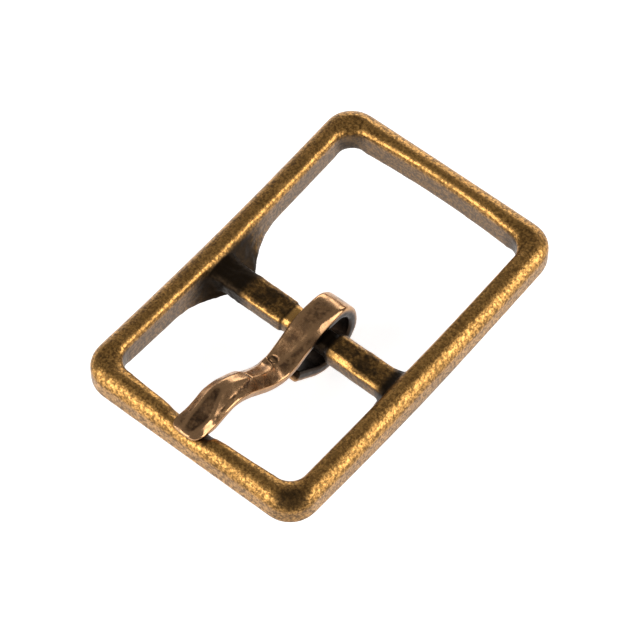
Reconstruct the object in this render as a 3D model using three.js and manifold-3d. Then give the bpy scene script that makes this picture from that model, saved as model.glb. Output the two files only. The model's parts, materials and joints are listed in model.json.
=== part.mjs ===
// Centre-bar strap buckle: one cast frame with its bar, and one loose prong hung on the bar.
// Millimetres. X runs along the bar, Y from the prong's tip end to the far end, Z up off the face.
import * as THREE from "three";
import Module from "manifold-3d";

// ---- frame ----
const strapWidth = 25.4;
const railWidth = 2.69;
const endBarWidth = 2.96;
const frameLength = 46.8;
const frameDepth = 4.2;
const outerCorner = 3.38;
const innerCorner = 2.3;
const crownRound = 1.5;
const innerTopRound = 0.34;
const backRound = 0.65;
const innerBackRound = 0.22;
const endBow = 0.43;
const railDip = 0.67;
const railBelly = 0.4;
const bellySpread = 8.9;
const webReachLeft = 4.2;
const webReachRight = 1.8;
const webReachNear = 2.1;
const webSpanFar = 8.6;
const webSpanNear = 5.4;

// ---- centre bar ----
const barOffset = -2.75;
const barDrop = 3.1;
const barWidth = 3.58;
const barDepth = 3.14;
const barBevel = 0.72;
const barRootFlare = 0.3;
const barRootLength = 1.6;
const barInRail = 1.5;

// ---- round seat of the prong on the bar ----
const seatRadius = 1.48;
const seatWidth = 8.6;
const seatMiddle = 2.3;
const seatShoulder = 0.45;

// ---- notch that the prong's tip rests in ----
const notchWidth = 5.8;
const notchMiddle = -0.8;
const notchDepth = 0.84;
const notchOuterDepth = 0.46;
const notchFlare = 0.35;

// ---- prong ----
const seatClearance = 0.23;
const loopThickness = 1.3;
const shankThickness = 1.85;
const tipThickness = 1.45;
const tipEndThickness = 0.3;
const tipTaper = 3.2;
const tipRounding = 1.9;
const loopBack = 4.95;
const loopDrop = 5.35;
const hookGap = 0.5;
const loopWidth = 3.5;
const waistWidth = 3.2;
const bladeWidth = 3.85;
const tipEndWidth = 1.9;
const dipDepth = 3.4;
const dipAt = 6.1;
const crestHeight = 0.98;
const crestInset = 2.35;
const tipClearance = 0.22;
const tipInset = 0.1;
const bladeGrowth = 6.0;
const bladeLength = 10.6;
const prongShift = 1.08;
const tipShift = -0.5;

const colours = { frame: 0xa8854f, prong: 0xa17c55 };

// What follows from the sizes above.
const frameWidth = strapWidth + 2 * railWidth;
const innerHalfX = strapWidth / 2;
const halfX = frameWidth / 2;
const halfY = frameLength / 2;
const innerHalfY = halfY - endBarWidth;
const axisY = barOffset;
const axisZ = -barDrop;
const loopFloor = axisZ - loopDrop - loopThickness / 2;
const lift = -loopFloor;
const bladeFrom = bladeLength - halfY;

const wasm = await Module();
wasm.setup();

function lerp(a, b, t) {
  return a + (b - a) * t;
}

function smooth(t) {
  const c = Math.min(1, Math.max(0, t));
  return c * c * (3 - 2 * c);
}

// Points of an arc in a plane, from angle a0 to a1 in degrees.
function arc(cx, cy, r, a0, a1, steps) {
  const points = [];
  for (let i = 0; i <= steps; i += 1) {
    const a = THREE.MathUtils.degToRad(lerp(a0, a1, i / steps));
    points.push([cx + r * Math.cos(a), cy + r * Math.sin(a)]);
  }
  return points;
}

// A skin over rings of equal length. A round loft joins its last ring to its first.
function loft(rings, round) {
  const size = rings[0].length;
  const positions = rings.flat(2);
  const index = [];
  const spans = round ? rings.length : rings.length - 1;
  for (let i = 0; i < spans; i += 1) {
    const near = i * size;
    const far = ((i + 1) % rings.length) * size;
    for (let j = 0; j < size; j += 1) {
      const k = (j + 1) % size;
      index.push(near + j, far + j, far + k);
      index.push(near + j, far + k, near + k);
    }
  }
  if (!round) {
    const last = (rings.length - 1) * size;
    for (let j = 1; j < size - 1; j += 1) {
      index.push(0, j, j + 1);
      index.push(last, last + j + 1, last + j);
    }
  }
  return { positions, index };
}

// The skin as a solid, turned so that its faces point out.
function solid(skin) {
  const made = (index) =>
    new wasm.Manifold(
      new wasm.Mesh({
        numProp: 3,
        vertProperties: new Float32Array(skin.positions),
        triVerts: new Uint32Array(index),
      }),
    );
  const first = made(skin.index);
  if (first.volume() > 0) return first;
  const turned = [];
  for (let i = 0; i < skin.index.length; i += 3) {
    turned.push(skin.index[i], skin.index[i + 2], skin.index[i + 1]);
  }
  return made(turned);
}

function meshOf(name, body) {
  const raw = body.getMesh();
  const geometry = new THREE.BufferGeometry();
  geometry.setAttribute("position", new THREE.Float32BufferAttribute(raw.vertProperties, 3));
  geometry.setIndex(new THREE.BufferAttribute(new Uint32Array(raw.triVerts), 1));
  geometry.translate(0, 0, lift);
  geometry.computeVertexNormals();
  const finish = { color: colours[name], roughness: 0.42, metalness: 1 };
  const mesh = new THREE.Mesh(geometry, new THREE.MeshStandardMaterial(finish));
  mesh.name = name;
  return mesh;
}

// The rail's section: how far in from the outer edge, and how far down from the top.
function railSection(width) {
  const inner = width - innerTopRound;
  const innerBack = width - innerBackRound;
  return [
    ...arc(crownRound, -crownRound, crownRound, 180, 90, 6),
    ...arc(inner, -innerTopRound, innerTopRound, 90, 0, 2),
    [width, -frameDepth * 0.36],
    [width, -frameDepth * 0.68],
    ...arc(innerBack, -frameDepth + innerBackRound, innerBackRound, 0, -90, 1),
    ...arc(backRound, -frameDepth + backRound, backRound, -90, -180, 3),
  ];
}

// Where the outer and inner edges of the frame run, seen from above, once round.
function planStations() {
  const cornerSteps = 9;
  const railSteps = 22;
  const endSteps = 8;
  const ox = halfX - outerCorner;
  const oy = halfY - outerCorner;
  const ix = innerHalfX - innerCorner;
  const iy = innerHalfY - innerCorner;
  const stations = [];
  const corner = (sx, sy, from) => {
    const outer = arc(sx * ox, sy * oy, outerCorner, from, from + 90, cornerSteps);
    const inner = arc(sx * ix, sy * iy, innerCorner, from, from + 90, cornerSteps);
    outer.forEach((o, i) => stations.push({ outer: o, inner: inner[i], rail: false }));
  };
  const rail = (side) => {
    for (let i = 1; i < railSteps; i += 1) {
      const t = side * lerp(-1, 1, i / railSteps);
      const outer = [side * halfX, t * oy];
      const inner = [side * innerHalfX, t * iy];
      stations.push({ outer, inner, rail: true });
    }
  };
  const end = (side) => {
    for (let i = 1; i < endSteps; i += 1) {
      const t = -side * lerp(-1, 1, i / endSteps);
      const bow = endBow * (1 - t * t);
      const outer = [t * ox, side * halfY];
      const inner = [t * ix, side * (innerHalfY + bow)];
      stations.push({ outer, inner, rail: false });
    }
  };
  corner(1, -1, -90);
  rail(1);
  corner(1, 1, 0);
  end(1);
  corner(-1, 1, 90);
  rail(-1);
  corner(-1, -1, 180);
  end(-1);
  return stations;
}

// The side rails dip in the middle and hang deeper round the bar.
function railFall(y, share) {
  const near = Math.min(1, Math.abs(y) / innerHalfY);
  const belly = Math.exp(-0.5 * ((y - axisY) / bellySpread) ** 2);
  return railDip * (1 - near * near) + railBelly * belly * (1 - near ** 4) * share;
}

// How far the inner wall's foot reaches in beside the bar, to the left or right rail.
function webReach(x, y) {
  const far = x < 0 ? webReachLeft : webReachRight;
  const near = Math.min(webReachNear, far);
  const beyondFar = y - (axisY + barWidth / 2);
  const beyondNear = axisY - barWidth / 2 - y;
  if (beyondFar > 0) return far * Math.max(0, 1 - beyondFar / webSpanFar) ** 2;
  if (beyondNear > 0) return near * Math.max(0, 1 - beyondNear / webSpanNear) ** 2;
  return lerp(near, far, -beyondNear / barWidth);
}

function frameRing() {
  const section = railSection(railWidth);
  const rings = planStations().map(({ outer, inner, rail }) =>
    section.map(([across, down]) => {
      const share = -down / frameDepth;
      const u = across / railWidth;
      const onInside = rail && u > 0.9 ? share * share : 0;
      const reach = webReach(outer[0], inner[1]) * onInside;
      const x = lerp(outer[0], inner[0], u) - Math.sign(outer[0]) * reach;
      const y = lerp(outer[1], inner[1], u);
      return [x, y, down - railFall(y, share)];
    }),
  );
  return solid(loft(rings, true));
}

// The bar's bevelled section at x, with the same point order as its round seat.
function barRing(x, grow) {
  const w = barWidth / 2 + grow;
  const d = barDepth / 2 + grow;
  const b = barBevel;
  const corners = [[w, d - b], [w - b, d], [b - w, d], [-w, d - b]];
  const half = [];
  for (let i = 0; i < 4; i += 1) {
    half.push(corners[i]);
    if (i < 3) half.push([(corners[i][0] + corners[i + 1][0]) / 2, (corners[i][1] + corners[i + 1][1]) / 2]);
  }
  half.push([-w, 0]);
  const points = [...half, ...half.map(([y, z]) => [-y, -z])];
  return points.map(([y, z]) => [x, axisY + y, axisZ + z]);
}

function seatRing(x) {
  return barRing(x, 0).map(([, y, z]) => {
    const reach = Math.hypot(y - axisY, z - axisZ);
    const k = seatRadius / reach;
    return [x, axisY + (y - axisY) * k, axisZ + (z - axisZ) * k];
  });
}

function centreBar() {
  const root = innerHalfX + barInRail;
  const near = innerHalfX - barRootLength;
  const from = seatMiddle - seatWidth / 2;
  const to = seatMiddle + seatWidth / 2;
  const rings = [
    barRing(-root, barRootFlare),
    barRing(-innerHalfX, barRootFlare),
    barRing(-near, 0),
    barRing(from - seatShoulder, 0),
    seatRing(from),
    seatRing(to),
    barRing(to + seatShoulder, 0),
    barRing(near, 0),
    barRing(innerHalfX, barRootFlare),
    barRing(root, barRootFlare),
  ];
  return solid(loft(rings, false));
}

// The sloping pocket across the near end bar, deepest at the bar's inner edge.
function tipNotch() {
  const half = notchWidth / 2;
  const slope = (notchDepth - notchOuterDepth) / endBarWidth;
  const front = -halfY - 1;
  const back = -innerHalfY + endBow + 1;
  const floor = (y) => -notchOuterDepth - (y + halfY) * slope;
  const side = (x) => [[x, front, floor(front)], [x, back, floor(back)], [x, back, 1], [x, front, 1]];
  const wide = (x, grow) => side(x).map(([, y, z]) => [z > 0.5 ? x + grow : x, y, z]);
  const left = wide(notchMiddle - half, -notchFlare);
  const right = wide(notchMiddle + half, notchFlare);
  return solid(loft([left, right], false));
}

function frame() {
  return frameRing().add(centreBar()).subtract(tipNotch());
}

// The prong's middle line in the Y-Z plane, from the hook's free end, round the bar, to the tip.
function prongPath() {
  const t = loopThickness / 2;
  const over = axisZ + seatRadius + seatClearance + t;
  const floor = axisZ - loopDrop;
  const back = axisY + loopBack;
  const mid = (over + floor) / 2;
  const dipZ = -dipDepth;
  const dipY = axisY - dipAt;
  const hookY = dipY + 1.6;
  const hookZ = dipZ - shankThickness / 2 - hookGap - t;
  const heelZ = -notchDepth + tipClearance + tipThickness / 2;
  const heelY = -innerHalfY + 0.2;
  const tipY = -halfY + tipInset;
  const crestY = heelY + crestInset;
  const rise = (share) => lerp(dipY, crestY, share);
  const points = [
    [hookY, hookZ],
    [lerp(hookY, axisY, 0.4), lerp(hookZ, floor, 0.46)],
    [lerp(hookY, axisY, 0.8), lerp(hookZ, floor, 0.86)],
    [axisY + 0.9, floor],
    [back - 1.6, floor + 0.85],
    [back - 0.35, mid - 1.7],
    [back, mid + 0.1],
    [back - 0.5, mid + 2.0],
    [back - 1.9, over - 0.32],
    [axisY + 1.0, over + 0.06],
    [axisY - 0.75, over - 0.1],
    [axisY - 2.75, lerp(over, dipZ, 0.42)],
    [axisY - 4.8, lerp(over, dipZ, 0.87)],
    [dipY, dipZ],
    [rise(0.2), lerp(dipZ, crestHeight, 0.13)],
    [rise(0.43), lerp(dipZ, crestHeight, 0.44)],
    [rise(0.64), lerp(dipZ, crestHeight, 0.75)],
    [rise(0.83), lerp(dipZ, crestHeight, 0.96)],
    [crestY, crestHeight],
    [lerp(crestY, heelY, 0.55), lerp(crestHeight, heelZ, 0.5)],
    [heelY, heelZ],
    [lerp(heelY, tipY, 0.39), heelZ - 0.03],
    [lerp(heelY, tipY, 0.69), heelZ - 0.09],
    [lerp(heelY, tipY, 0.88), heelZ - 0.17],
    [tipY, heelZ - 0.38],
  ];
  return new THREE.CatmullRomCurve3(
    points.map(([y, z]) => new THREE.Vector3(0, y, z)),
    false,
    "centripetal",
  );
}

// How the prong's section changes along it: blade is 0 at the waist and 1 at the tip section.
function prongSection(y, along) {
  const front = smooth((axisY - 1 - y) / (dipAt - 1));
  const blade = smooth((bladeFrom - y) / bladeGrowth);
  const end = smooth((y + halfY) / tipTaper);
  const round = Math.sqrt(Math.max(0, (y + halfY) / tipRounding));
  const onLoop = along < 0.45;
  const body = lerp(loopThickness, shankThickness, onLoop ? 0 : front);
  const plain = lerp(body, tipThickness, blade);
  const waist = lerp(loopWidth, waistWidth, onLoop ? 0 : front);
  const wide = lerp(waist, bladeWidth, blade);
  return {
    thick: lerp(tipEndThickness, plain, end),
    width: lerp(tipEndWidth, wide, Math.min(1, round)),
    flat: lerp(lerp(0.84, 0.62, onLoop ? 0 : front), 0.36, blade),
    bevel: lerp(lerp(0.16, 0.36, onLoop ? 0 : front), 0.6, blade),
  };
}

// The blade lies a little aside and askew on the bar, as its play lets it.
function prongSide(y) {
  const t = (axisY - y) / (axisY + halfY);
  return lerp(prongShift, tipShift, Math.max(0, t));
}

function prong() {
  const path = prongPath();
  const steps = 54;
  const rings = [];
  for (let i = 0; i <= steps; i += 1) {
    const along = i / steps;
    const at = path.getPointAt(along);
    const run = path.getTangentAt(along);
    const out = [run.z, -run.y];
    const { thick, width, flat, bevel } = prongSection(at.y, along);
    const h = thick / 2;
    const w = width / 2;
    const foot = Math.min(0.2, h * 0.4);
    const drop = h * 2 * bevel;
    const outline = [
      [-w + foot, -h],
      [w - foot, -h],
      [w, -h + foot],
      [w, h - drop],
      [w * flat, h],
      [-w * flat, h],
      [-w, h - drop],
      [-w, -h + foot],
    ];
    const side = prongSide(at.y);
    rings.push(outline.map(([x, n]) => [side + x, at.y + out[0] * n, at.z + out[1] * n]));
  }
  return solid(loft(rings, false));
}

const buckle = new THREE.Group();
buckle.name = "buckle";
buckle.add(meshOf("frame", frame()));
buckle.add(meshOf("prong", prong()));

export default buckle;
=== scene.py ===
import json
import math

import bmesh
import bpy
import numpy as np
from mathutils import Matrix, Vector, noise


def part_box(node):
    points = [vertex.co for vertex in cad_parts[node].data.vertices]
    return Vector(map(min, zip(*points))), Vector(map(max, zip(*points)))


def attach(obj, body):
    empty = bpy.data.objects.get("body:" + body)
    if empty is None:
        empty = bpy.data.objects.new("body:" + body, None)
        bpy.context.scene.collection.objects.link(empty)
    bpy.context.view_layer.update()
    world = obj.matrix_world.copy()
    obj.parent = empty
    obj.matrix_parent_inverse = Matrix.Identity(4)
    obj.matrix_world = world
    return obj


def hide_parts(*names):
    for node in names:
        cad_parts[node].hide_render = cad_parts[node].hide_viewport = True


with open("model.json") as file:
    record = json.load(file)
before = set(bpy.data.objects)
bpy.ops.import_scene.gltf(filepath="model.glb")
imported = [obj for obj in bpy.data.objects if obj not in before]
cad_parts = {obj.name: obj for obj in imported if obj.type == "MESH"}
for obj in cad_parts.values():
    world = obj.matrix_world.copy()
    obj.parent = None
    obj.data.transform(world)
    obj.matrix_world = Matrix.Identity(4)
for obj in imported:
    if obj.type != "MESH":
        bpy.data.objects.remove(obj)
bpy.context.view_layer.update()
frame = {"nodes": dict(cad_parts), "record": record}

MM = 0.001

# ---- sizes that part.mjs also uses, in millimetres over the rails' top ----
HINGE = frame["record"]["behaviour"]["joints"][0]["pos_m"]
AXIS_Y = HINGE[1] / MM
AXIS_Z = HINGE[2] / MM
BAR_DROP = 3.1
LIFT = AXIS_Z + BAR_DROP
FRAME_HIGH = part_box("frame")[1] / MM
HALF_X = FRAME_HIGH[0]
HALF_Y = FRAME_HIGH[1]
RAIL = 2.69
END_BAR = 2.96
RAIL_DIP = 0.67


def smoothstep(low, high, x):
    t = np.clip((x - low) / (high - low), 0.0, 1.0)
    return t * t * (3 - 2 * t)


# ---- meshes ----
def points_of(mesh):
    flat = np.empty(len(mesh.vertices) * 3, np.float32)
    mesh.vertices.foreach_get("co", flat)
    return flat.reshape(-1, 3).astype(np.float64) / MM


def normals_of(mesh):
    flat = np.empty(len(mesh.vertices) * 3, np.float32)
    mesh.vertex_normals.foreach_get("vector", flat)
    return flat.reshape(-1, 3).astype(np.float64)


def set_points(mesh, points):
    mesh.vertices.foreach_set("co", (points * MM).astype(np.float32).ravel())
    mesh.update()


def edges_of(mesh):
    flat = np.empty(len(mesh.edges) * 2, np.int32)
    mesh.edges.foreach_get("vertices", flat)
    return flat.reshape(-1, 2)


def relaxed(values, edges, times, amount=0.5):
    """Each value moves towards the mean of its neighbours, times over."""
    count = len(values)
    a, b = edges[:, 0], edges[:, 1]
    valence = np.bincount(a, minlength=count) + np.bincount(b, minlength=count)
    valence = np.maximum(valence, 1)
    out = values.copy()
    for _ in range(times):
        for k in range(out.shape[1]):
            column = out[:, k]
            total = np.bincount(a, column[b], count) + np.bincount(b, column[a], count)
            out[:, k] = column + amount * (total / valence - column)
    return out


def remeshed(node, name, voxel, smoothing):
    """A fine copy of a CAD solid, with the softened edges of a casting."""
    source = bpy.data.objects.new(name, frame["nodes"][node].data.copy())
    bpy.context.collection.objects.link(source)
    step = source.modifiers.new("voxels", "REMESH")
    step.mode = "VOXEL"
    step.voxel_size = voxel * MM
    step.use_smooth_shade = True
    graph = bpy.context.evaluated_depsgraph_get()
    mesh = bpy.data.meshes.new_from_object(source.evaluated_get(graph))
    source.modifiers.clear()
    source.data = mesh
    mesh.materials.clear()
    points = relaxed(points_of(mesh), edges_of(mesh), smoothing)
    set_points(mesh, points)
    return source


def store(mesh, name, values):
    layer = mesh.attributes.new(name, "FLOAT", "POINT")
    layer.data.foreach_set("value", values.astype(np.float32))


def relief(mesh, reach):
    """How far each point stands out from a blurred copy of the surface, in millimetres."""
    points, normals, edges = points_of(mesh), normals_of(mesh), edges_of(mesh)
    blurred = relaxed(points, edges, reach)
    height = np.einsum("ij,ij->i", points - blurred, normals)
    return relaxed(height[:, None], edges, 3)[:, 0]


def grain(points, scale, seed):
    """Smooth seeded noise at each point, about -1 to 1."""
    shift = Vector((seed * 7.3, seed * 3.1, seed * 5.7))
    return np.array([noise.noise(Vector(p) * scale + shift) for p in points])


# ---- the frame ----
OUTER_CORNER, CROWN = 3.38, 1.5
BAR_W, BAR_D, BAR_BEVEL = 1.79, 1.57, 0.72


def inset_of(points):
    """How far in from the frame's rounded outline each point is, and the way out to it."""
    corner = np.array([HALF_X - OUTER_CORNER, HALF_Y - OUTER_CORNER])
    beyond = np.abs(points[:, :2]) - corner
    round_part = np.maximum(beyond, 0)
    reach = np.linalg.norm(round_part, axis=1)
    flat = np.minimum(np.max(beyond, axis=1), 0)
    way = np.sign(points[:, :2]) * round_part / np.maximum(reach, 1e-6)[:, None]
    return OUTER_CORNER - reach - flat, way


def below_top(points):
    """How far below the frame's top line each point is; the rails dip in the middle."""
    depth = HALF_Y - END_BAR
    top = -RAIL_DIP * (1 - np.minimum(1, np.abs(points[:, 1]) / depth) ** 2)
    return top - (points[:, 2] - LIFT)


def fill_pocket(points):
    """The pocket's outer part lies close under the tip and runs out into the crown."""
    x, y, z = points[:, 0], points[:, 1], points[:, 2] - LIFT
    depth = np.clip(y + HALF_Y, 0, CROWN)
    crown = np.sqrt(CROWN ** 2 - (CROWN - depth) ** 2) - CROWN
    under = -0.4 + 1.2 * smoothstep(1.2, 2.2, np.abs(x + 0.42))
    goal = np.minimum(crown, under)
    share = smoothstep(4.4, 4.0, np.abs(x + 0.8)) * smoothstep(-21.3, -22.2, y) * (z > -1.3)
    points[:, 2] += np.maximum(goal - z, 0) * share


def round_outside(points, normals):
    """The crown is a wide low dome that falls away to the outside."""
    inset, way = inset_of(points)
    across, deep = 2.3, 1.6
    step = np.clip(inset, 0, across)
    dome = deep * np.sqrt(1 - ((across - step) / across) ** 2) - deep
    step = np.clip(inset, 0, CROWN)
    now = np.sqrt(CROWN ** 2 - (CROWN - step) ** 2) - CROWN
    points[:, 2] += (dome - now) * smoothstep(-0.15, 0.2, normals[:, 2])
    points[:, :2] += way * (0.12 * smoothstep(2.3, 1.4, inset))[:, None]


def slope_inside(points):
    """The crown's inner third falls gently towards the openings."""
    inset, _ = inset_of(points)
    fall = 0.42 * np.clip((inset - 1.4) / 1.3, 0, 1) ** 1.5
    points[:, 2] -= fall * smoothstep(1.6, 0.3, below_top(points))


def fill_seat(points):
    """Beside the prong the bar keeps its full section; its round seat is only under the hook."""
    x = points[:, 0]
    dy, dz = points[:, 1] - AXIS_Y, points[:, 2] - AXIS_Z
    reach = np.maximum(np.hypot(dy, dz), 1e-6)
    cos, sin = np.abs(dy) / reach, np.abs(dz) / reach
    full = np.minimum(BAR_W / np.maximum(cos, 1e-6), BAR_D / np.maximum(sin, 1e-6))
    full = np.minimum(full, (BAR_W + BAR_D - BAR_BEVEL) / (cos + sin))
    share = smoothstep(3.5, 4.3, x) * smoothstep(8.0, 7.2, x)
    share = np.maximum(share, 0.45 * smoothstep(-1.0, -1.6, x) * smoothstep(-3.0, -2.4, x))
    grow = 1 + np.maximum(full * 0.985 / reach - 1, 0) * share * (reach < 2.3)
    points[:, 1] = AXIS_Y + dy * grow
    points[:, 2] = AXIS_Z + dz * grow


def soften_frame(mesh):
    """The frame's shape, with the worn edges and fuller fillets of the casting."""
    points, edges = points_of(mesh), edges_of(mesh)
    fill_pocket(points)
    round_outside(points, normals_of(mesh))
    slope_inside(points)
    fill_seat(points)
    points = relaxed(points, edges, 4)
    z = points[:, 2] - LIFT
    # The crown's inner edge is rubbed round.
    inset, _ = inset_of(points)
    inner_edge = smoothstep(1.7, 2.2, inset) * smoothstep(4.2, 3.6, inset)
    inner_edge *= smoothstep(1.3, 0.7, below_top(points))
    points += (relaxed(points, edges, 12) - points) * inner_edge[:, None]
    # The inner corners are filled by the casting's fillets.
    gap_x = HALF_X - RAIL - np.abs(points[:, 0])
    gap_y = HALF_Y - END_BAR - np.abs(points[:, 1])
    fillet = smoothstep(2.4, 1.0, np.hypot(gap_x - 0.3, gap_y - 0.3))
    points += (relaxed(points, edges, 60) - points) * fillet[:, None]
    # The edges of the tip's pocket are worn round.
    pocket = smoothstep(4.6, 3.6, np.abs(points[:, 0] + 0.8)) * smoothstep(-19.6, -20.4, points[:, 1])
    pocket *= smoothstep(-2.0, -1.2, z)
    points += (relaxed(points, edges, 26) - points) * pocket[:, None]
    set_points(mesh, points)
    return points


def make_frame():
    piece = remeshed("frame", "cast_frame", 0.16, 3)
    mesh = piece.data
    points = soften_frame(mesh)
    normals = normals_of(mesh)
    x, y, z = points[:, 0], points[:, 1], points[:, 2] - LIFT
    nz = normals[:, 2]
    one, two, three = grain(points, 1.9, 1), grain(points, 0.7, 2), grain(points, 3.6, 3)
    inside = smoothstep(HALF_X - RAIL + 0.25, HALF_X - RAIL - 0.25, np.abs(x))
    inside *= smoothstep(HALF_Y - END_BAR + 0.35, HALF_Y - END_BAR - 0.05, np.abs(y))
    bar = inside * smoothstep(2.6, 2.0, np.abs(y - AXIS_Y))
    left_root = smoothstep(-6.6, -8.6, x) * smoothstep(7.4, 3.6, np.abs(y - AXIS_Y - 0.6))
    right_root = smoothstep(10.6, 12.0, x) * smoothstep(4.0, 1.8, np.abs(y - AXIS_Y))
    patina_and_shade = inside * np.maximum(left_root, right_root) * smoothstep(-0.5, -1.1, z)
    # Painted shade: the bar's upward-facing top is darkened, broken into streaks by noise.
    top_shade_streaks = np.clip(0.84 + 0.8 * two + 0.7 * one, 0.45, 1.0)
    patina_and_shade = np.maximum(patina_and_shade, bar * smoothstep(0.7, 0.95, nz) * top_shade_streaks * 0.85)
    # Painted shadow: the bar is darkened under the prong's hook.
    patina_and_shade = np.maximum(patina_and_shade, bar * smoothstep(-0.9, 0.1, x) * smoothstep(5.4, 3.9, x))
    shoulder = np.exp(-((x + 2.35) / 0.22) ** 2) * bar
    patina_and_shade = np.maximum(patina_and_shade, shoulder * 0.8)
    corners = smoothstep(3.4, 1.2, HALF_X - RAIL - np.abs(x))
    corners *= smoothstep(3.4, 1.2, HALF_Y - END_BAR - np.abs(y))
    upright = smoothstep(0.6, 0.15, nz)
    on_inner = smoothstep(1.3, 1.9, inset_of(points)[0])
    inner_wall = on_inner * smoothstep(0.4, 1.7, below_top(points))
    wall = upright * np.maximum(inner_wall, 0.7 * smoothstep(-3.8, -4.4, z))
    # Painted dark reflection: an oval dark spot on the crown at the near right corner.
    dx, dy = x - HALF_X + 1.75, y + HALF_Y - 1.65
    dome = np.hypot((dx + dy) / 4.2, (dx - dy) / 2.3)
    patina_and_shade = np.maximum(patina_and_shade, corners * upright * on_inner * (0.55 + 0.5 * two))
    patina_and_shade = np.maximum(patina_and_shade, 0.8 * smoothstep(1.0, 0.35, dome))
    dip = smoothstep(0.5, 1.1, x) * smoothstep(2.7, 2.1, x)
    dip *= smoothstep(-22.9, -22.3, y) * smoothstep(-20.2, -20.7, y)
    patina_and_shade = np.maximum(patina_and_shade, dip * smoothstep(-0.12, -0.3, z) * 0.9)
    seat = bar * smoothstep(-2.3, -2.0, x) * smoothstep(0.2, -0.6, x)
    patina_and_shade *= 1 - 0.8 * seat
    # The seat under the hook is rubbed bright; the bar's front bevel gets a painted highlight.
    bevel = smoothstep(0.35, 0.5, nz) * smoothstep(0.8, 0.65, nz) * (y < AXIS_Y)
    wear_and_highlight = np.maximum(seat, 0.7 * bar * bevel)
    wear_and_highlight *= 1 - left_root
    rough = one * 0.035 + two * 0.05
    bumps = 0.14 + 0.9 * np.minimum(1, inside * left_root) + 0.5 * bar
    points += normals * (rough * bumps + three * 0.05 * seat - 0.1 * shoulder)[:, None]
    set_points(mesh, points)
    store(mesh, "relief", relief(mesh, 7) - 0.012)
    # Stored mask: patina in the hollows together with painted shade, a painted shadow and a painted
    # dark reflection.
    store(mesh, "patina_and_shade", np.clip(patina_and_shade, 0, 1))
    store(mesh, "wall", wall)
    store(mesh, "wear_and_highlight", np.clip(wear_and_highlight, 0, 1))
    return piece


# ---- the prong ----
SEAT_R, SEAT_GAP, LOOP_T, SHANK_T, TIP_T = 1.48, 0.23, 1.3, 1.75, 1.45
DIP_Z, CREST_Z, NOTCH = -3.4, 0.98, 0.84
DIP_Y = AXIS_Y - 6.1
HEEL_Y = END_BAR - HALF_Y + 0.2
TIP_Y = 0.1 - HALF_Y


def prong_points():
    """Middle line of the prong, as (y, z), from the hook's free end to the tip."""
    half = LOOP_T / 2
    axis = -BAR_DROP
    over = axis + SEAT_R + SEAT_GAP + half
    floor = axis - 5.35
    back = AXIS_Y + 4.95
    mid = (over + floor) / 2
    hook_y = DIP_Y + 1.6
    hook_z = DIP_Z - SHANK_T / 2 - 0.5 - half
    heel_z = -NOTCH + 0.22 + TIP_T / 2
    crest_y = HEEL_Y + 2.35

    def mix(a, b, t):
        return a + (b - a) * t

    def rise(t):
        return mix(DIP_Y, crest_y, t)

    return np.array([
        (hook_y, hook_z),
        (mix(hook_y, AXIS_Y, 0.4), mix(hook_z, floor, 0.46)),
        (mix(hook_y, AXIS_Y, 0.8), mix(hook_z, floor, 0.86)),
        (AXIS_Y + 0.9, floor),
        (back - 1.6, floor + 0.85),
        (back - 0.35, mid - 1.7),
        (back, mid + 0.1),
        (back - 0.5, mid + 2.0),
        (back - 1.9, over - 0.32),
        (AXIS_Y + 1.0, over + 0.06),
        (AXIS_Y - 0.75, over - 0.1),
        (AXIS_Y - 2.75, mix(over, DIP_Z, 0.42)),
        (AXIS_Y - 4.8, mix(over, DIP_Z, 0.87)),
        (DIP_Y, DIP_Z),
        (rise(0.2), mix(DIP_Z, CREST_Z, 0.13)),
        (rise(0.43), mix(DIP_Z, CREST_Z, 0.44)),
        (rise(0.64), mix(DIP_Z, CREST_Z, 0.75)),
        (rise(0.83), mix(DIP_Z, CREST_Z, 0.96)),
        (crest_y, CREST_Z),
        (mix(crest_y, HEEL_Y, 0.55), mix(CREST_Z, heel_z, 0.5)),
        (HEEL_Y, heel_z),
        (mix(HEEL_Y, TIP_Y, 0.39), heel_z - 0.03),
        (mix(HEEL_Y, TIP_Y, 0.69), heel_z - 0.09),
        (mix(HEEL_Y, TIP_Y, 0.88), heel_z - 0.17),
        (TIP_Y, heel_z - 0.38),
    ])


def spline(points, count):
    """A centripetal curve through the points, resampled to even steps."""
    p = np.vstack([2 * points[0] - points[1], points, 2 * points[-1] - points[-2]])
    out = []
    for k in range(len(points) - 1):
        a, b, c, d = p[k:k + 4]
        t0 = 0.0
        t1 = t0 + math.sqrt(np.linalg.norm(b - a))
        t2 = t1 + math.sqrt(np.linalg.norm(c - b))
        t3 = t2 + math.sqrt(np.linalg.norm(d - c))
        for t in np.linspace(t1, t2, 24, endpoint=False):
            ab = (a * (t1 - t) + b * (t - t0)) / (t1 - t0)
            bc = (b * (t2 - t) + c * (t - t1)) / (t2 - t1)
            cd = (c * (t3 - t) + d * (t - t2)) / (t3 - t2)
            abc = (ab * (t2 - t) + bc * (t - t0)) / (t2 - t0)
            bcd = (bc * (t3 - t) + cd * (t - t1)) / (t3 - t1)
            out.append((abc * (t2 - t) + bcd * (t - t1)) / (t2 - t1))
    out.append(points[-1])
    out = np.array(out)
    step = np.concatenate([[0], np.cumsum(np.linalg.norm(np.diff(out, axis=0), axis=1))])
    even = np.linspace(0, step[-1], count)
    return np.stack([np.interp(even, step, out[:, 0]), np.interp(even, step, out[:, 1])], 1)


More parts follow.
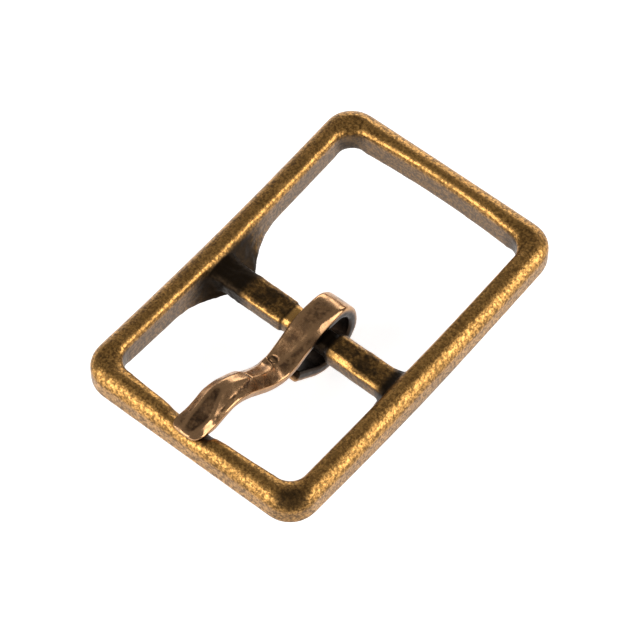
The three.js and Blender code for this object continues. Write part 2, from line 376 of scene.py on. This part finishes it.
def make_prong():
    count, around = 460, 88
    line = spline(prong_points(), count)
    for _ in range(12):
        line[1:-1] += 0.25 * (line[:-2] + line[2:] - 2 * line[1:-1])
    run = np.gradient(line, axis=0)
    run /= np.linalg.norm(run, axis=1)[:, None]
    out = np.stack([run[:, 1], -run[:, 0]], 1)
    y = line[:, 0]
    along = np.linspace(0, 1, count)
    top = smoothstep(0.40, 0.47, along)
    front = smoothstep(0, 1, (AXIS_Y - 1 - y) / 5.1) * (along > 0.44)
    blade = smoothstep(0, 1, (10.6 - HALF_Y - y) / 6.0)
    end = smoothstep(0, 1, (y + HALF_Y) / 3.2)
    body = LOOP_T + (SHANK_T - LOOP_T) * front
    thick = body + (TIP_T - body) * blade
    thick = 0.62 + (thick + 0.12 - 0.62) * end
    line[:, 1] += 0.14 * (1 - end) + 0.05 * end
    wide = 3.6 + (3.4 - 3.6) * front
    wide = wide + (4.05 - wide) * blade
    round_end = np.clip((y - TIP_Y + 0.02) / 1.5, 0, 1)
    wide = 2.0 + (wide - 2.0) * np.sqrt(round_end * (2 - round_end))
    half_w, half_h = wide / 2, thick / 2
    # Where the flat on the top starts and ends across the prong. It wanders along the shank.
    places = [-23.4, -22.6, -21.0, -19.0, -17.2, -16.2, -13.8, -12.0, -10.5, -8.8, -7.3, -3.7, 0.5]
    starts = [-0.1, -0.4, -0.75, -0.9, -0.9, -0.85, -0.85, -1.0, -1.2, -1.4, -1.45, -1.5, -1.45]
    stops = [0.5, 1.0, 1.35, 1.15, 0.1, 0.05, 0.3, 0.45, 0.35, -0.1, 0.3, 1.0, 1.1]
    left = top * np.interp(y, places, starts) - (1 - top) * half_w * 0.84
    right = top * np.interp(y, places, stops) + (1 - top) * half_w * 0.84
    kernel = np.ones(15) / 15
    left[7:-7] = np.convolve(left, kernel, "valid")
    right[7:-7] = np.convolve(right, kernel, "valid")
    left = np.maximum(left, -half_w + 0.1)
    right = np.minimum(right, half_w - 0.1)
    bevel_left = thick * (0.12 + top * (0.12 * front + 0.34 * blade))
    bevel_right = thick * (0.16 + top * (0.26 + 0.06 * front + 0.02 * blade))
    foot = np.minimum(0.2, half_h * 0.4)
    outline = np.stack([
        np.stack([-half_w + foot, -half_h], 1),
        np.stack([half_w - foot, -half_h], 1),
        np.stack([half_w, -half_h + foot], 1),
        np.stack([half_w, half_h - bevel_right], 1),
        np.stack([right, half_h], 1),
        np.stack([left, half_h], 1),
        np.stack([-half_w, half_h - bevel_left], 1),
        np.stack([-half_w, -half_h + foot], 1),
    ], 1)
    ring = resampled(outline, around)
    for _ in range(2):
        ring = 0.5 * ring + 0.25 * (np.roll(ring, 1, 1) + np.roll(ring, -1, 1))
    side = 1.08 + (-0.5 - 1.08) * np.clip((AXIS_Y - y) / (AXIS_Y + HALF_Y), 0, 1)
    across, up = ring[:, :, 0], ring[:, :, 1]
    upper = smoothstep(0.0, 0.75, up / half_h[:, None]) * (along[:, None] > 0.45)
    yy = y[:, None] + np.zeros_like(across)
    # The blade starts with a rounded nose that stands a little over the shank.
    nose = -13.7 - 3.0 * np.maximum(0, across - 0.2) ** 2
    step = smoothstep(0.28, -0.05, yy - nose) * smoothstep(-17.5, -14.5, yy)
    groove = np.exp(-((yy - nose - 0.2) / 0.16) ** 2)
    # A round mark from a pin of the mould, and the crease where the dip's facet starts.
    round_mark = np.hypot(across + 0.6, yy + 8.38)
    mark = -0.07 * np.exp(-((round_mark - 0.55) / 0.13) ** 2) - 0.03 * (round_mark < 0.5)
    crease = -9.25 - 0.5 * across
    ledge = np.exp(-((yy - crease) / 0.14) ** 2) * smoothstep(0.9, -0.2, across)
    # The hollowed leaf on the blade.
    leaf = smoothstep(0.0, 0.35, across - left[:, None])
    leaf *= smoothstep(0.0, 0.35, right[:, None] - across)
    leaf *= smoothstep(-16.9, -17.6, yy) * smoothstep(-23.0, -22.3, yy)
    lift = upper * (0.14 * step - 0.14 * groove + 1.3 * mark - 0.08 * ledge - 0.1 * leaf)
    valley = smoothstep(-8.9, -10.2, yy) * smoothstep(-14.0, -12.8, yy)
    up = up + lift - upper * valley * 0.13 * ((across - 0.5) / 1.3) ** 2
    x = side[:, None] + across
    py = y[:, None] + out[:, 0:1] * up
    pz = line[:, 1:2] + out[:, 1:2] * up
    points = np.stack([x, py, pz + LIFT], 2).reshape(-1, 3)
    mesh = tube("cast_prong", points, count, around)
    edges = edges_of(mesh)
    points = relaxed(points_of(mesh), edges, 1)
    blunt = smoothstep(-22.2, -22.9, points[:, 1])
    points += (relaxed(points, edges, 14) - points) * blunt[:, None]
    set_points(mesh, points)
    normals = normals_of(mesh)
    wander = grain(points, 0.5, 4) * 0.035 + grain(points, 1.6, 5) * 0.008
    points += normals * wander[:, None]
    set_points(mesh, points)
    store(mesh, "relief", 2.0 * relief(mesh, 28))
    ring_dark = 0.5 * np.exp(-((round_mark - 0.5) / 0.2) ** 2)
    dark = upper * (0.75 * leaf + ring_dark + 0.4 * groove + 0.3 * ledge)
    flat = np.concatenate([dark.ravel(), [1.0, 0.3]])
    # Painted shade on the inside of the hook, where it wraps round the bar.
    inner = smoothstep(0.75, -0.1, up / half_h[:, None]) * smoothstep(0.56, 0.5, along)[:, None]
    hook_shade = np.concatenate([(0.85 * inner).ravel(), [1.0, 0.0]])
    store(mesh, "patina_and_shade", np.clip(np.maximum(flat * 0.5, hook_shade * 1.15), 0, 1))
    store(mesh, "wall", smoothstep(0.25, -0.15, normals[:, 2]) * 0.6)
    store(mesh, "wear_and_highlight", np.zeros(len(points)))
    piece = bpy.data.objects.new("cast_prong", mesh)
    bpy.context.collection.objects.link(piece)
    return piece


def resampled(outline, around):
    """Each closed outline of corners as evenly spread points."""
    rows = []
    for corners in outline:
        loop = np.vstack([corners, corners[:1]])
        reach = np.concatenate([[0], np.cumsum(np.linalg.norm(np.diff(loop, axis=0), axis=1))])
        even = np.linspace(0, reach[-1], around, endpoint=False)
        rows.append(np.stack([np.interp(even, reach, loop[:, k]) for k in range(2)], 1))
    return np.array(rows)


def tube(name, points, count, around):
    """A closed skin over rings of points, with a middle point in each end."""
    first = points[:around].mean(0)
    last = points[-around:].mean(0)
    everything = np.vstack([points, first, last])
    faces = []
    for i in range(count - 1):
        a, b = i * around, (i + 1) * around
        for j in range(around):
            k = (j + 1) % around
            faces.append((a + j, b + j, b + k, a + k))
    start, stop = count * around, count * around + 1
    tail = (count - 1) * around
    for j in range(around):
        k = (j + 1) % around
        faces.append((start, j, k))
        faces.append((stop, tail + k, tail + j))
    mesh = bpy.data.meshes.new(name)
    mesh.from_pydata((everything * MM).tolist(), [], faces)
    work = bmesh.new()
    work.from_mesh(mesh)
    bmesh.ops.recalc_face_normals(work, faces=work.faces)
    work.to_mesh(mesh)
    work.free()
    return mesh


# ---- materials ----
class Nodes:
    def __init__(self, name):
        self.material = bpy.data.materials.new(name)
        self.material.use_nodes = True
        self.tree = self.material.node_tree
        self.tree.nodes.clear()

    def add(self, kind, links=None, **settings):
        node = self.tree.nodes.new(kind)
        for key, value in settings.items():
            setattr(node, key, value)
        for key, value in (links or {}).items():
            if isinstance(value, bpy.types.NodeSocket):
                self.tree.links.new(value, node.inputs[key])
            else:
                node.inputs[key].default_value = value
        return node

    def mix(self, share, first, second, kind="MIX"):
        node = self.add("ShaderNodeMix", data_type="RGBA", blend_type=kind)
        node.clamp_factor = True
        for index, value in ((0, share), (6, first), (7, second)):
            if isinstance(value, bpy.types.NodeSocket):
                self.tree.links.new(value, node.inputs[index])
            else:
                node.inputs[index].default_value = value
        return node.outputs[2]

    def ramp(self, value, *stops):
        node = self.add("ShaderNodeValToRGB", {"Fac": value})
        points = node.color_ramp.elements
        while len(points) < len(stops):
            points.new(0.5)
        for point, (place, level) in zip(points, stops):
            point.position = place
            point.color = (level, level, level, 1)
        return node.outputs["Color"]

    def maths(self, kind, a, b=0.0, c=0.0):
        return self.add("ShaderNodeMath", {0: a, 1: b, 2: c}, operation=kind).outputs[0]

    def noise(self, where, scale, detail=3.0, rough=0.55):
        links = {"Vector": where, "Scale": scale, "Detail": detail, "Roughness": rough}
        return self.add("ShaderNodeTexNoise", links).outputs["Fac"]


def antique(name, deep, mid, bright, dull, polish, speck, bumps, mottle):
    """Antique brass: dark in the recesses, bright where it is rubbed, with a fine speckled grain. The
    stored masks also lay painted shade and a painted highlight into the colour.
    """
    n = Nodes(name)
    where = n.add("ShaderNodeTexCoord").outputs["Object"]
    fine = n.noise(where, 4000.0, 2.0, 0.7)
    medium = n.noise(where, mottle, 4.0, 0.6)
    broad = n.noise(where, 300.0, 3.0)
    height = n.add("ShaderNodeAttribute", attribute_name="relief").outputs["Fac"]
    patina_and_shade = n.add("ShaderNodeAttribute", attribute_name="patina_and_shade").outputs["Fac"]
    wall = n.add("ShaderNodeAttribute", attribute_name="wall").outputs["Fac"]
    wear_and_highlight = n.add("ShaderNodeAttribute", attribute_name="wear_and_highlight").outputs["Fac"]
    raised = n.maths("MULTIPLY_ADD", height, 9.0, 0.5)
    # Bright on raised and rubbed places, and on the painted highlight of the bar's front bevel.
    edge = n.maths("MAXIMUM", n.ramp(raised, (0.52, 0.0), (0.9, 1.0)), wear_and_highlight)
    hollow = n.ramp(raised, (0.1, 1.0), (0.46, 0.0))
    spots = n.ramp(fine, (0.44, 0.0), (0.58, 1.0))
    patches = n.ramp(medium, (0.44, 0.0), (0.6, 1.0))
    colour = n.mix(n.maths("MULTIPLY", spots, speck), mid, bright)
    colour = n.mix(n.maths("MULTIPLY", patches, speck), colour, deep)
    colour = n.mix(n.maths("MULTIPLY", n.ramp(broad, (0.38, 0.0), (0.68, 1.0)), 0.35), colour, deep)
    colour = n.mix(n.maths("MULTIPLY", edge, 0.7), colour, bright)
    colour = n.mix(n.maths("MULTIPLY", hollow, 0.85), colour, deep)
    tarnish = n.maths("MULTIPLY", wall, n.maths("MULTIPLY_ADD", patches, 0.25, 0.72))
    colour = n.mix(tarnish, colour, dull)
    black = tuple(0.006 + c * 0.1 for c in deep[:3]) + (1,)
    # Near-black mix for the hollows' patina and for painted shade, a painted shadow and painted dark
    # reflections.
    colour = n.mix(n.maths("MULTIPLY", patina_and_shade, 0.985), colour, black)
    rough = n.maths("MULTIPLY_ADD", patches, 0.12, polish)
    rough = n.maths("ADD", rough, n.maths("MULTIPLY", patina_and_shade, 0.12))
    rough = n.maths("SUBTRACT", rough, n.maths("MULTIPLY", edge, 0.05))
    bump = n.add("ShaderNodeBump", {"Height": fine, "Strength": 0.5 * bumps, "Distance": 0.00005})
    coarse = {"Height": medium, "Strength": 0.3 * bumps, "Distance": 0.00005}
    bump = n.add("ShaderNodeBump", {**coarse, "Normal": bump.outputs[0]})
    shader = n.add(
        "ShaderNodeBsdfPrincipled",
        {"Base Color": colour, "Metallic": 1.0, "Roughness": rough, "Normal": bump.outputs[0]},
    )
    out = n.add("ShaderNodeOutputMaterial")
    n.tree.links.new(shader.outputs[0], out.inputs[0])
    return n.material


def dress(piece, material, body, node):
    piece.data.materials.append(material)
    piece.data.shade_smooth()
    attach(piece, body)
    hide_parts(node)


# ---- studio ----
def make_floor():
    mesh = bpy.data.meshes.new("floor")
    work = bmesh.new()
    bmesh.ops.create_grid(work, x_segments=1, y_segments=1, size=2.0)
    work.to_mesh(mesh)
    work.free()
    floor = bpy.data.objects.new("floor", mesh)
    bpy.context.collection.objects.link(floor)
    floor.location.z = -0.0002
    n = Nodes("pale_floor")
    where = n.add("ShaderNodeTexCoord").outputs["Object"]
    tone = n.mix(n.noise(where, 14.0), (0.86, 0.86, 0.86, 1), (0.9, 0.9, 0.9, 1))
    shader = n.add(
        "ShaderNodeBsdfPrincipled",
        {
            "Base Color": tone,
            "Roughness": 0.9,
            "Emission Color": (1.0, 1.0, 1.0, 1),
            "Emission Strength": 0.7,
        },
    )
    out = n.add("ShaderNodeOutputMaterial")
    n.tree.links.new(shader.outputs[0], out.inputs[0])
    mesh.materials.append(n.material)


def softbox(name, direction, distance, width, height, power):
    data = bpy.data.lights.new(name, "AREA")
    data.shape = "RECTANGLE"
    data.size = width
    data.size_y = height
    data.energy = power
    lamp = bpy.data.objects.new(name, data)
    bpy.context.collection.objects.link(lamp)
    way = Vector(direction).normalized()
    lamp.location = way * distance
    lamp.rotation_mode = "QUATERNION"
    lamp.rotation_quaternion = way.to_track_quat("Z", "Y")


def make_light():
    world = bpy.data.worlds.new("studio")
    bpy.context.scene.world = world
    world.use_nodes = True
    back = world.node_tree.nodes["Background"]
    back.inputs["Color"].default_value = (1.0, 1.0, 1.0, 1)
    back.inputs["Strength"].default_value = 0.26
    softbox("right_box", (0.84, 0.42, 0.40), 0.6, 0.6, 0.4, 2.6)
    softbox("left_box", (-0.38, -0.84, 0.44), 0.6, 0.6, 0.4, 2.6)
    softbox("back_box", (-0.42, 0.9, 0.24), 0.6, 0.6, 0.2, 0.9)


def make_camera():
    azimuth, elevation, roll = math.radians(39.44), math.radians(56.73), math.radians(0.06)
    right = Vector((math.cos(azimuth), math.sin(azimuth), 0))
    back = Vector((
        math.cos(elevation) * math.sin(azimuth),
        -math.cos(elevation) * math.cos(azimuth),
        math.sin(elevation),
    ))
    up = back.cross(right)
    turn = Matrix((right, up, back)).transposed().to_4x4() @ Matrix.Rotation(-roll, 4, "Z")
    data = bpy.data.cameras.new("camera")
    data.lens = 200.9
    data.sensor_width = 36.0
    data.shift_x = -0.0030
    data.shift_y = -0.0355
    data.clip_start = 0.01
    data.clip_end = 10.0
    camera = bpy.data.objects.new("camera", data)
    bpy.context.collection.objects.link(camera)
    camera.matrix_world = Matrix.Translation(Vector((0, 0, LIFT * MM)) + back * 0.3953) @ turn
    bpy.context.scene.camera = camera


make_camera()
make_light()
make_floor()
BRASS = antique(
    "frame_brass",
    deep=(0.13, 0.068, 0.02, 1),
    mid=(0.42, 0.21, 0.056, 1),
    bright=(0.78, 0.42, 0.125, 1),
    dull=(0.12, 0.083, 0.056, 1),
    polish=0.3,
    speck=0.9,
    bumps=1.0,
    mottle=2700.0,
)
BRONZE = antique(
    "prong_bronze",
    deep=(0.09, 0.05, 0.027, 1),
    mid=(0.38, 0.2, 0.092, 1),
    bright=(0.6, 0.34, 0.165, 1),
    dull=(0.17, 0.12, 0.1, 1),
    polish=0.22,
    speck=0.85,
    bumps=0.3,
    mottle=1400.0,
)
dress(make_frame(), BRASS, "buckle_frame", "frame")
dress(make_prong(), BRONZE, "buckle_prong", "prong")

bpy.context.scene.view_settings.view_transform = "Standard"
